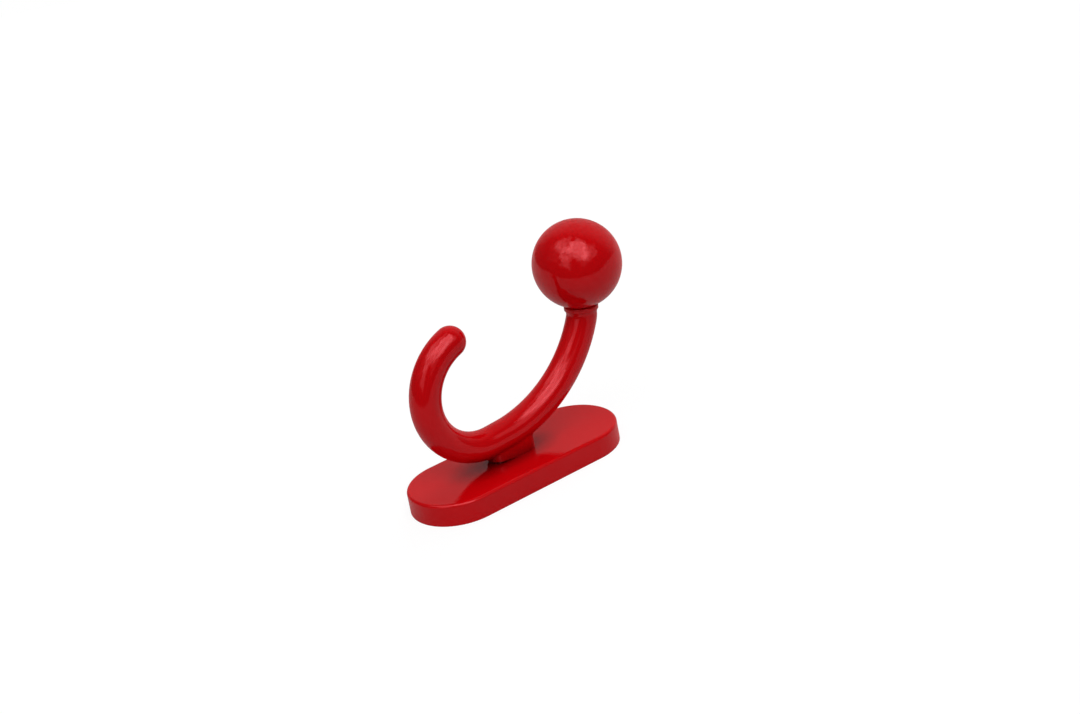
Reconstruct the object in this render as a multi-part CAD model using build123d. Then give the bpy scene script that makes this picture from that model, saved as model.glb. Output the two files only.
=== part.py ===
from build123d import *
from math import cos, degrees, radians, sin, sqrt
import os

# A wall hook with a ball knob, lying on the flat back of its base plate.
# +X runs up the wall when the hook is mounted and +Z points away from the wall.
# The hook is symmetric about y = 0, and the origin is the middle of the plate's back.
# Lengths are in millimetres and angles in degrees.

# Base plate: an oblong casting with drafted sides
plate_length = 94.4
plate_width = 38.8
plate_thickness = 9.0
plate_draft = 0.65
front_edge_radius = 1.2
back_edge_radius = 0.3

# Two keyholes in the plate's back, which drop onto screw heads in the wall
keyhole_spacing = 56.0
keyhole_run = 9.0
keyhole_entry = 9.6
keyhole_slot = 5.0
keyhole_lip = 2.8
keyhole_head_room = 3.5

# Arm: a round bar of one thickness, from the J hook's tip to the neck below the ball
arm_diameter = 12.3
hook_radius = 23.6
hook_centre_x = -9.9
tip_short_of_top = 19.2
arm_gap = 2.7
rise_angle = 3.6
rise_length = 5.2
sweep_radius = 54.1
sweep_end_angle = 66.0
neck_bend_radius = 8.1

# Neck and collar, along the knob's axis, which leans from +Z towards +X
knob_lean = 5.0
neck_height = 1.2
neck_diameter = 13.0
collar_diameter = 13.7
collar_height = 1.9
collar_top_radius = 0.6
collar_edge_radius = 0.3

# Ball, with a small flat seat on the collar, and the stud that holds it
ball_diameter = 35.5
seat_diameter = 11.2
stud_diameter = 6.0
stud_in_arm = 9.0
stud_in_ball = 12.0

# Foot under the arm: an oblong pad. Round its toe, the end under the J hook, the underside is cut back
# to a core and rises off the plate.
foot_length = 21.5
foot_width = 9.2
foot_centre_x = -1.25
foot_blend_radius = 2.2
toe_lift = 1.6
toe_reach = 11.0
toe_undercut = 1.4

# Countersunk screws from the back of the plate into the foot
screw_spacing = 11.0
screw_diameter = 4.0
screw_head_diameter = 7.5
screw_head_rim = 0.3
screw_sink = 0.4
screw_reach = 7.0
socket_width = 2.5
socket_depth = 1.3

# Clearances: around threads drawn as plain cylinders, around clearance holes, and past a screw's end
thread_clearance = 0.05
hole_clearance = 0.2
end_clearance = 0.5

arm_radius = arm_diameter / 2
collar_radius = collar_diameter / 2
ball_radius = ball_diameter / 2
screw_radius = screw_diameter / 2
screw_head_radius = screw_head_diameter / 2


def on_side(x, z):
    """A point of the symmetry plane y = 0."""
    return Vector(x, 0, z)


def heading(angle):
    """The direction at an angle from +X towards +Z in the symmetry plane."""
    return on_side(cos(radians(angle)), sin(radians(angle)))


# Places along the arm's centreline, which runs anticlockwise from the tip when seen from the -Y side
hook_centre = on_side(hook_centre_x, plate_thickness + arm_gap + arm_radius + hook_radius)
tip_angle = 90 + tip_short_of_top
tip = hook_centre + heading(tip_angle) * hook_radius
rise_start = hook_centre + heading(rise_angle - 90) * hook_radius
rise_end = rise_start + heading(rise_angle) * rise_length
sweep_centre = rise_end + heading(rise_angle + 90) * sweep_radius
sweep_end = sweep_centre + heading(sweep_end_angle - 90) * sweep_radius
neck_bend_centre = sweep_end + heading(sweep_end_angle + 90) * neck_bend_radius

# Places along the knob's axis
knob_angle = 90 - knob_lean
knob_axis = heading(knob_angle)
neck_base = neck_bend_centre + heading(knob_angle - 90) * neck_bend_radius
collar_base = neck_base + knob_axis * neck_height
ball_seat = collar_base + knob_axis * collar_height
seat_to_centre = sqrt(ball_radius**2 - (seat_diameter / 2) ** 2)
ball_centre = ball_seat + knob_axis * seat_to_centre


def across(point, direction):
    """The plane through a point of the symmetry plane, square to a direction in it.

    Its X axis lies to the left of the direction, so the seam of a round runs along the inside of the bends.
    """
    return Plane(origin=point, x_dir=direction.cross(Vector(0, 1, 0)), z_dir=direction)


def oblong(length, width):
    """A flat shape with two parallel sides and half-round ends."""
    return SlotOverall(length, width)


def screw_places():
    """Where the two arm screws pass through the plate, on z = 0."""
    return [Location((foot_centre_x + side * screw_spacing / 2, 0, 0)) for side in (-1, 1)]


def screw_profile(growth):
    """Half the outline of a countersunk screw standing on its head at z = screw_sink, grown sideways."""
    cone_top = screw_sink + screw_head_rim + screw_head_radius - screw_radius
    screw_end = plate_thickness + screw_reach
    return Polyline(
        (0, screw_sink),
        (screw_head_radius + growth, screw_sink),
        (screw_head_radius + growth, screw_sink + screw_head_rim),
        (screw_radius + growth, cone_top),
        (screw_radius + growth, screw_end),
        (0, screw_end),
        close=True,
    )


def turned(profile):
    """The solid that a half outline, drawn as radius and height, sweeps round the Z axis."""
    return revolve(Plane.XZ * make_face(profile), Axis.Z)


def keyhole():
    """The space that one keyhole takes out of the plate, centred on its own middle."""
    seat_x = keyhole_run / 2
    entry = Pos(-seat_x, 0, 0) * extrude(Circle(keyhole_entry / 2), keyhole_lip)
    slot = extrude(oblong(keyhole_run + keyhole_slot, keyhole_slot), keyhole_lip)
    head_room = extrude(oblong(keyhole_run + keyhole_entry, keyhole_entry), keyhole_head_room)
    return entry + slot + Pos(0, 0, keyhole_lip) * head_room


def base_plate():
    """The oblong plate with its drafted side, two keyholes and two countersunk holes."""
    plate = extrude(oblong(plate_length, plate_width), plate_thickness, taper=plate_draft)
    plate = fillet(plate.faces().sort_by(Axis.Z)[-1].edges(), front_edge_radius)
    plate = fillet(plate.faces().sort_by(Axis.Z)[0].edges(), back_edge_radius)
    for side in (-1, 1):
        plate -= Pos(side * keyhole_spacing / 2, 0, 0) * keyhole()
    mouth = extrude(Circle(screw_head_radius + hole_clearance), screw_sink)
    countersunk_hole = mouth + turned(screw_profile(hole_clearance))
    for place in screw_places():
        plate -= place * countersunk_hole
    return plate


def bend(start, start_angle, centre, turn):
    """A stretch of round bar that leaves a point at a heading and turns anticlockwise about a centre."""
    end_face = across(start, heading(start_angle)) * Circle(arm_radius)
    return revolve(end_face, Axis(centre, Vector(0, -1, 0)), turn)


def arm_bar():
    """The round bar from its half-round tip to the base of the neck, where it meets the knob's axis."""
    round_tip = across(tip, heading(tip_angle - 90)) * Sphere(arm_radius, arc_size1=0, align=None)
    hook = bend(tip, tip_angle + 90, hook_centre, 270 + rise_angle - tip_angle)
    rise = extrude(across(rise_start, heading(rise_angle)) * Circle(arm_radius), rise_length)
    upward_sweep = bend(rise_end, rise_angle, sweep_centre, sweep_end_angle - rise_angle)
    neck_bend = bend(sweep_end, sweep_end_angle, neck_bend_centre, knob_angle - sweep_end_angle)
    return round_tip + hook + rise + upward_sweep + neck_bend


def neck_and_collar():
    """The neck, which widens from the bar, and the rounded collar that the ball sits on."""
    standing = (Align.CENTER, Align.CENTER, Align.MIN)
    neck = Cone(arm_radius, neck_diameter / 2, neck_height, align=standing)
    collar = Cylinder(collar_radius, collar_height, align=standing)
    collar = fillet(collar.edges().sort_by(Axis.Z)[-1], collar_top_radius)
    collar = fillet(collar.edges().sort_by(Axis.Z)[0], collar_edge_radius)
    return across(neck_base, knob_axis) * (neck + Pos(0, 0, neck_height) * collar)


def foot_pad():
    """The oblong pad between plate and arm, with the rising undercut round its toe."""
    base = Pos(foot_centre_x, 0, plate_thickness)
    pad = base * extrude(oblong(foot_length, foot_width), arm_gap + arm_radius)
    core = base * extrude(oblong(foot_length - 2 * toe_undercut, foot_width - 2 * toe_undercut), toe_lift)
    toe_x = foot_centre_x - foot_length / 2
    rise = Polyline(
        on_side(toe_x, plate_thickness),
        on_side(toe_x, plate_thickness + toe_lift),
        on_side(toe_x + toe_reach, plate_thickness),
        close=True,
    )
    return pad - extrude(make_face(rise), foot_width, both=True) + core


def hook_arm():
    """The whole casting, with the threaded holes for the ball's stud and for the screws in its foot."""
    bar = arm_bar()
    pad = foot_pad()
    arm = bar + pad
    arm = fillet(new_edges(bar, pad, combined=arm), foot_blend_radius)
    arm += neck_and_collar()
    stud_hole = across(ball_seat, knob_axis) * Circle(stud_diameter / 2 + thread_clearance)
    arm -= extrude(stud_hole, -(stud_in_arm + end_clearance))
    screw_hole = extrude(Circle(screw_radius + thread_clearance), screw_reach + end_clearance)
    for place in screw_places():
        arm -= place * Pos(0, 0, plate_thickness) * screw_hole
    return arm


def ball_knob():
    """The ball, with its flat seat and a threaded hole for the stud."""
    ball = across(ball_centre, knob_axis) * Sphere(ball_radius)
    ball = split(ball, bisect_by=across(ball_seat, knob_axis), keep=Keep.TOP)
    stud_hole = across(ball_seat, knob_axis) * Circle(stud_diameter / 2 + thread_clearance)
    return ball - extrude(stud_hole, stud_in_ball + end_clearance)


def ball_stud():
    """The plain shank that stands for the threaded stud, across the seat between collar and ball."""
    foot_plane = across(ball_seat - knob_axis * stud_in_arm, knob_axis)
    return extrude(foot_plane * Circle(stud_diameter / 2), stud_in_arm + stud_in_ball)


def arm_screws():
    """The two countersunk screws, each with a six-sided socket in its head."""
    socket = extrude(RegularPolygon(socket_width / 2, 6, major_radius=False), screw_sink + socket_depth)
    screw = turned(screw_profile(0)) - socket
    return Compound(children=[place * screw for place in screw_places()])


os.makedirs("parts", exist_ok=True)
export_step(base_plate(), "parts/base_plate.step")
export_step(hook_arm(), "parts/hook_arm.step")
export_step(ball_knob(), "parts/ball_knob.step")
export_step(ball_stud(), "parts/ball_stud.step")
export_step(arm_screws(), "parts/arm_screws.step")
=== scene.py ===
from math import cos, radians, sin

import bpy
from mathutils import Matrix, Vector

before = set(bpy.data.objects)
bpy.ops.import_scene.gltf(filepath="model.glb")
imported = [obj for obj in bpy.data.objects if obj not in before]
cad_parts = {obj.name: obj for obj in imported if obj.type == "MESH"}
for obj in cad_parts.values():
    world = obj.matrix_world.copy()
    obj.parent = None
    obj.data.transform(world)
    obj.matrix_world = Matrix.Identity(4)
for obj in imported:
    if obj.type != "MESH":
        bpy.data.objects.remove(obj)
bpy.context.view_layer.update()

# A red lacquered wall hook lying on its back on a white table, under a large crumpled sheet of light.
# Lengths are in metres and angles in degrees. Each CAD piece keeps its shape and gets its finish here.

# Camera: its place, and its view as angles round +Z, above the table and about its own axis
camera_place = Vector((-0.2919, -0.4889, 0.2886))
camera_azimuth = -32.57
camera_elevation = 23.01
camera_roll = -10.68
camera_lens = 53.8
sensor_width = 36.0

# Table: a grey paper under a white glow that only the camera sees in full, so that a faint shadow shows.
# It ends close before the object, because the lacquer reflects a dark room there.
table_reach = 1.5
table_front = 0.22
paper_grey = (0.42, 0.42, 0.42, 1)
white_share = 0.7
white_glow = 1.27
table_in_gloss = 0.03
room_in_gloss = 0.03

# Room: a dim even light, and patches of light, each with an azimuth, an elevation, a radius and a strength
room_light = 0.06
room_patches = {
    "sheet": (-22.0, 54.0, 23.0, 3.2),
    "sheet_top": (-94.0, 66.0, 18.0, 1.6),
    "sheet_left": (-62.0, 47.0, 17.0, 1.1),
    "sheet_low": (-66.0, 25.0, 14.0, 0.8),
    "sheet_front": (-22.0, 27.0, 14.0, 0.3),
    "sheet_right": (16.0, 38.0, 17.0, 0.8),
    "wall": (125.0, 25.0, 50.0, 0.3),
    "wall_left": (-105.0, 45.0, 22.0, 0.15),
}
patch_edge = 0.35

# Crumples in the patches: slow ones that push their edges about, and fine folds that shade them
crumple_scale = 2.4
crumple_detail = 6.0
crumple_roughness = 0.65
crumple_depth = 0.3
fold_scale = 13.0
fold_detail = 4.0
fold_roughness = 0.6
fold_range = (0.35, 0.65)
fold_shade = (0.5, 1.35)

# Light from the right, which gloss doesn't show: an azimuth, an elevation, a width and a strength
right_light = (115.0, 38.0, 55.0, 1.15)

# Lacquer: two reds that it drifts between, its roughness, its gloss and its red glow at grazing angles
lacquer_red = (0.6, 0.0012, 0.003, 1)
lacquer_deep_red = (0.53, 0.0006, 0.002, 1)
lacquer_roughness = (0.05, 0.08)
lacquer_refraction = 1.5
lacquer_gloss = 1.0
lacquer_gloss_tint = (1.0, 0.24, 0.27, 1.0)
lacquer_glow = 0.6
lacquer_glow_tint = (1.0, 0.0, 0.01, 1.0)
tone_scale = 60.0
tone_detail = 3.0
tone_range = (0.3, 0.7)

# Relief of the lacquer: the slow flow of the coat and its fine orange peel
relief_depth = 0.0002
flow_scale = 130.0
flow_detail = 0.0
flow_strength = 0.2
peel_scale = 900.0
peel_detail = 2.0
peel_strength = 0.18

# Painted shade in the narrow seam round the foot, darkened by ambient occlusion: its near-black colour, how
# far it looks round, how open a point is where the painted shade starts and where it is full, and the heights
# over which it comes in from below and goes out above
painted_seam_shade = (0.02, 0.0, 0.0, 1)
seam_reach = 0.01
seam_samples = 8
seam_openness = (0.9, 0.3)
seam_bottom = (0.0078, 0.0088)
seam_top = (0.022, 0.014)

# Zinc plate: two greys that it is mottled with, and its roughness
zinc_dark = (0.5, 0.5, 0.52, 1)
zinc_light = (0.66, 0.66, 0.66, 1)
zinc_roughness = (0.28, 0.48)
zinc_scale = 900.0
zinc_detail = 4.0

white = (1, 1, 1, 1)
whole_range = (0.0, 1.0)


def on_sky(azimuth, elevation, distance):
    """A point at a distance from the object, with azimuth 0 towards -Y and positive towards +X."""
    a = radians(azimuth)
    e = radians(elevation)
    return Vector((sin(a) * cos(e), -cos(a) * cos(e), sin(e))) * distance


def node(tree, kind, spot=(0, 0), **values):
    """A shader node at a spot of the node editor, with its plain settings and its input values."""
    made = tree.nodes.new(kind)
    made.location = spot
    for name, value in values.items():
        if hasattr(made, name):
            setattr(made, name, value)
        else:
            made.inputs[name.replace("_", " ")].default_value = value
    return made


def noise(tree, spot, point, scale, detail, roughness=0.5):
    """A noise texture read at a point."""
    made = node(tree, "ShaderNodeTexNoise", spot, Scale=scale, Detail=detail, Roughness=roughness)
    tree.links.new(point, made.inputs["Vector"])
    return made


def ramp(tree, spot, value, values, results):
    """What runs from the first result to the second while a value runs from the first value to the second."""
    made = node(tree, "ShaderNodeMapRange", spot, From_Min=values[0], From_Max=values[1])
    made.inputs["To Min"].default_value, made.inputs["To Max"].default_value = results
    tree.links.new(value, made.inputs["Value"])
    return made.outputs["Result"]


def product(tree, spot, first, second):
    """The product of two values."""
    times = node(tree, "ShaderNodeMath", spot, operation="MULTIPLY")
    tree.links.new(first, times.inputs[0])
    tree.links.new(second, times.inputs[1])
    return times.outputs[0]


def colour_mix(tree, spot, share, first, second):
    """A node that mixes two colours, with more of the second as the share grows."""
    mix = node(tree, "ShaderNodeMix", spot, data_type="RGBA")
    mix.inputs[6].default_value = first
    mix.inputs[7].default_value = second
    tree.links.new(share, mix.inputs[0])
    return mix


def bump(tree, spot, height, strength):
    """A node that turns a height into a relief."""
    made = node(tree, "ShaderNodeBump", spot, Strength=strength, Distance=relief_depth)
    tree.links.new(height, made.inputs["Height"])
    return made


def new_material(name):
    """An empty material and its node tree."""
    material = bpy.data.materials.new(name)
    material.use_nodes = True
    material.node_tree.nodes.clear()
    return material, material.node_tree


def seam_share(tree, point):
    """How much painted shade a point gets in the narrow seam round the foot, from 0 in the open to 1."""
    place = node(tree, "ShaderNodeSeparateXYZ", (-800, 900))
    tree.links.new(point, place.inputs[0])
    height = place.outputs["Z"]
    around = node(tree, "ShaderNodeAmbientOcclusion", (-800, 600), samples=seam_samples, Distance=seam_reach)
    deep = ramp(tree, (-400, 600), around.outputs["AO"], seam_openness, whole_range)
    below_top = ramp(tree, (-400, 900), height, seam_top, whole_range)
    above_bottom = ramp(tree, (-400, 1200), height, seam_bottom, whole_range)
    return product(tree, (0, 700), deep, product(tree, (-200, 1000), below_top, above_bottom))


def lacquer_relief(tree, point):
    """The normal of the lacquer's surface: the slow flow of the coat under its fine orange peel."""
    flow = noise(tree, (-800, -200), point, flow_scale, flow_detail)
    peel = noise(tree, (-800, -500), point, peel_scale, peel_detail)
    flow_bump = bump(tree, (0, -200), flow.outputs["Fac"], flow_strength)
    peel_bump = bump(tree, (200, -300), peel.outputs["Fac"], peel_strength)
    tree.links.new(flow_bump.outputs["Normal"], peel_bump.inputs["Normal"])
    return peel_bump.outputs["Normal"]


def lacquer(name):
    """Glossy red lacquer: slow changes in tone and gloss, a faint relief and painted shade in the seam round
    the foot.
    """
    material, tree = new_material(name)
    link = tree.links.new
    output = node(tree, "ShaderNodeOutputMaterial", (900, 0))
    shader = node(tree, "ShaderNodeBsdfPrincipled", (600, 0), IOR=lacquer_refraction)
    shader.inputs["Specular IOR Level"].default_value = lacquer_gloss
    shader.inputs["Specular Tint"].default_value = lacquer_gloss_tint
    shader.inputs["Sheen Weight"].default_value = lacquer_glow
    shader.inputs["Sheen Tint"].default_value = lacquer_glow_tint
    point = node(tree, "ShaderNodeTexCoord", (-1200, 0)).outputs["Object"]
    tone = noise(tree, (-800, 300), point, tone_scale, tone_detail).outputs["Fac"]
    red = colour_mix(tree, (200, 300), tone, lacquer_deep_red, lacquer_red)
    # Painted shade: the red darkens to near black where the seam round the foot is closed in.
    painted_seam_red = colour_mix(tree, (400, 400), seam_share(tree, point), lacquer_red, painted_seam_shade)
    link(red.outputs[2], painted_seam_red.inputs[6])
    link(painted_seam_red.outputs[2], shader.inputs["Base Color"])
    link(ramp(tree, (200, 0), tone, tone_range, lacquer_roughness), shader.inputs["Roughness"])
    link(lacquer_relief(tree, point), shader.inputs["Normal"])
    link(shader.outputs["BSDF"], output.inputs["Surface"])
    return material


def plated_steel(name):
    """Dull zinc plating with a slight mottle."""
    material, tree = new_material(name)
    link = tree.links.new
    output = node(tree, "ShaderNodeOutputMaterial", (900, 0))
    shader = node(tree, "ShaderNodeBsdfPrincipled", (600, 0), Metallic=1.0)
    point = node(tree, "ShaderNodeTexCoord", (-1200, 0)).outputs["Object"]
    mottle = noise(tree, (-800, 0), point, zinc_scale, zinc_detail).outputs["Fac"]
    grey = colour_mix(tree, (200, 200), mottle, zinc_dark, zinc_light)
    link(grey.outputs[2], shader.inputs["Base Color"])
    link(ramp(tree, (200, -100), mottle, whole_range, zinc_roughness), shader.inputs["Roughness"])
    link(shader.outputs["BSDF"], output.inputs["Surface"])
    return material


def seen_white(tree, in_gloss):
    """How white a ray sees the background: fully for camera and transmitted rays, partly for glossy rays."""
    link = tree.links.new
    path = node(tree, "ShaderNodeLightPath", (-1100, 300))
    gloss = node(tree, "ShaderNodeMath", (-900, 200), operation="MULTIPLY")
    gloss.inputs[1].default_value = in_gloss
    either = node(tree, "ShaderNodeMath", (-900, 400), operation="MAXIMUM")
    seen = node(tree, "ShaderNodeMath", (-700, 300), operation="MAXIMUM")
    link(path.outputs["Is Glossy Ray"], gloss.inputs[0])
    link(path.outputs["Is Camera Ray"], either.inputs[0])
    link(path.outputs["Is Transmission Ray"], either.inputs[1])
    link(gloss.outputs[0], seen.inputs[0])
    link(either.outputs[0], seen.inputs[1])
    return seen.outputs[0]


def table_paper(name):
    """White to the camera with a faint shadow, grey to the light, and clear from below."""
    material, tree = new_material(name)
    link = tree.links.new
    output = node(tree, "ShaderNodeOutputMaterial", (900, 0))
    paper = node(tree, "ShaderNodeBsdfDiffuse", (-200, 0), Color=paper_grey)
    glow = node(tree, "ShaderNodeEmission", (-200, -200), Color=white, Strength=white_glow)
    bright = node(tree, "ShaderNodeMixShader", (200, 0))
    share = node(tree, "ShaderNodeMath", (-200, 300), operation="MULTIPLY")
    share.inputs[1].default_value = white_share
    clear = node(tree, "ShaderNodeBsdfTransparent", (200, -200))
    facing = node(tree, "ShaderNodeNewGeometry", (200, 300))
    one_sided = node(tree, "ShaderNodeMixShader", (600, 0))
    link(seen_white(tree, table_in_gloss), share.inputs[0])
    link(share.outputs[0], bright.inputs[0])
    link(paper.outputs[0], bright.inputs[1])
    link(glow.outputs[0], bright.inputs[2])
    link(facing.outputs["Backfacing"], one_sided.inputs[0])
    link(bright.outputs[0], one_sided.inputs[1])
    link(clear.outputs[0], one_sided.inputs[2])
    link(one_sided.outputs[0], output.inputs["Surface"])
    return material


def white_table():
    """The flat table under the object, turned so that its front edge lies square to the camera's view."""
    front = on_sky(camera_azimuth, 0, 1)
    side = Vector((0, 0, 1)).cross(front) * table_reach
    corners = [
        front * table_front - side,
        front * table_front + side,
        side - front * table_reach,
        -side - front * table_reach,
    ]
    mesh = bpy.data.meshes.new("table")
    mesh.from_pydata(corners, [], [(0, 1, 2, 3)])
    mesh.materials.append(table_paper("table_white"))
    table = bpy.data.objects.new("table", mesh)
    bpy.context.scene.collection.objects.link(table)


def crumpled_sky(tree):
    """The direction into the sky, pushed about a little by a slow noise."""
    link = tree.links.new
    sky = node(tree, "ShaderNodeTexCoord", (-1800, 0)).outputs["Generated"]
    crumple = noise(tree, (-1600, 0), sky, crumple_scale, crumple_detail, crumple_roughness)
    centred = node(tree, "ShaderNodeVectorMath", (-1400, 0), operation="SUBTRACT")
    centred.inputs[1].default_value = (0.5, 0.5, 0.5)
    scaled = node(tree, "ShaderNodeVectorMath", (-1300, 0), operation="SCALE", Scale=crumple_depth)
    pushed = node(tree, "ShaderNodeVectorMath", (-1200, 0), operation="ADD")
    link(crumple.outputs["Color"], centred.inputs[0])
    link(centred.outputs[0], scaled.inputs[0])
    link(sky, pushed.inputs[0])
    link(scaled.outputs[0], pushed.inputs[1])
    return pushed.outputs[0]


def patch_of_light(tree, sky, azimuth, elevation, radius, strength):
    """A round patch of light in the sky, with soft edges."""
    along = node(tree, "ShaderNodeVectorMath", (-1000, 0), operation="DOT_PRODUCT")
    along.inputs[1].default_value = on_sky(azimuth, elevation, 1)
    patch = node(tree, "ShaderNodeMapRange", (-800, 0), interpolation_type="SMOOTHSTEP", To_Max=strength)
    patch.inputs["From Min"].default_value = cos(radians(radius * (1 + patch_edge)))
    patch.inputs["From Max"].default_value = cos(radians(radius * (1 - patch_edge)))
    tree.links.new(sky, along.inputs[0])
    tree.links.new(along.outputs["Value"], patch.inputs["Value"])
    return patch.outputs["Result"]


def fine_folds(tree, sky):
    """How strongly the fine folds shade a direction of the sky."""
    folds = noise(tree, (-600, -300), sky, fold_scale, fold_detail, fold_roughness)
    return ramp(tree, (-400, -300), folds.outputs["Fac"], fold_range, fold_shade)


def surroundings():
    """The world: white to the camera, and for everything else a room with soft patches of light."""
    world = bpy.data.worlds.new("studio")
    world.use_nodes = True
    tree = world.node_tree
    tree.nodes.clear()
    link = tree.links.new
    output = node(tree, "ShaderNodeOutputWorld", (900, 0))
    sky = crumpled_sky(tree)
    total = node(tree, "ShaderNodeValue", (-400, 0)).outputs[0]
    total.default_value = room_light
    for azimuth, elevation, radius, strength in room_patches.values():
        more = node(tree, "ShaderNodeMath", (-200, 0), operation="ADD")
        link(patch_of_light(tree, sky, azimuth, elevation, radius, strength), more.inputs[0])
        link(total, more.inputs[1])
        total = more.outputs[0]
    room = node(tree, "ShaderNodeBackground", (0, 0), Color=white)
    backdrop = node(tree, "ShaderNodeBackground", (0, -200), Color=white, Strength=1.0)
    choice = node(tree, "ShaderNodeMixShader", (300, 0))
    link(product(tree, (-200, -200), fine_folds(tree, sky), total), room.inputs["Strength"])
    link(seen_white(tree, room_in_gloss), choice.inputs[0])
    link(room.outputs[0], choice.inputs[1])
    link(backdrop.outputs[0], choice.inputs[2])
    link(choice.outputs[0], output.inputs["Surface"])
    bpy.context.scene.world = world


def light_from_the_right():
    """A broad light from the ball's side, which fills the shaded parts but stays out of the gloss."""
    azimuth, elevation, width, strength = right_light
    data = bpy.data.lights.new("right_light", "SUN")
    data.angle = radians(width)
    data.energy = strength
    lamp = bpy.data.objects.new("right_light", data)
    lamp.rotation_euler = on_sky(azimuth, elevation, 1).to_track_quat("Z", "Y").to_euler()
    lamp.visible_glossy = False
    bpy.context.scene.collection.objects.link(lamp)


def photo_camera():
    """The camera at the photograph's place, direction and tilt."""
    back = on_sky(camera_azimuth, camera_elevation, 1)
    right = Vector((cos(radians(camera_azimuth)), sin(radians(camera_azimuth)), 0))
    up = back.cross(right)
    roll = radians(camera_roll)
    rolled_right = right * cos(roll) + up * sin(roll)
    rolled_up = up * cos(roll) - right * sin(roll)
    data = bpy.data.cameras.new("camera")
    data.sensor_width = sensor_width
    data.lens = camera_lens
    camera = bpy.data.objects.new("camera", data)
    turn = Matrix((rolled_right, rolled_up, back)).transposed().to_4x4()
    camera.matrix_world = Matrix.Translation(camera_place) @ turn
    bpy.context.scene.collection.objects.link(camera)
    bpy.context.scene.camera = camera


def dress(names, material):
    """Gives CAD pieces their finish."""
    for name in names:
        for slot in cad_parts[name].material_slots:
            slot.material = material


dress(("base_plate", "hook_arm", "ball_knob"), lacquer("red_lacquer_gloss"))
dress(("ball_stud", "arm_screws"), plated_steel("zinc_plate"))

white_table()
surroundings()
light_from_the_right()
photo_camera()
bpy.context.scene.view_settings.view_transform = "Standard"
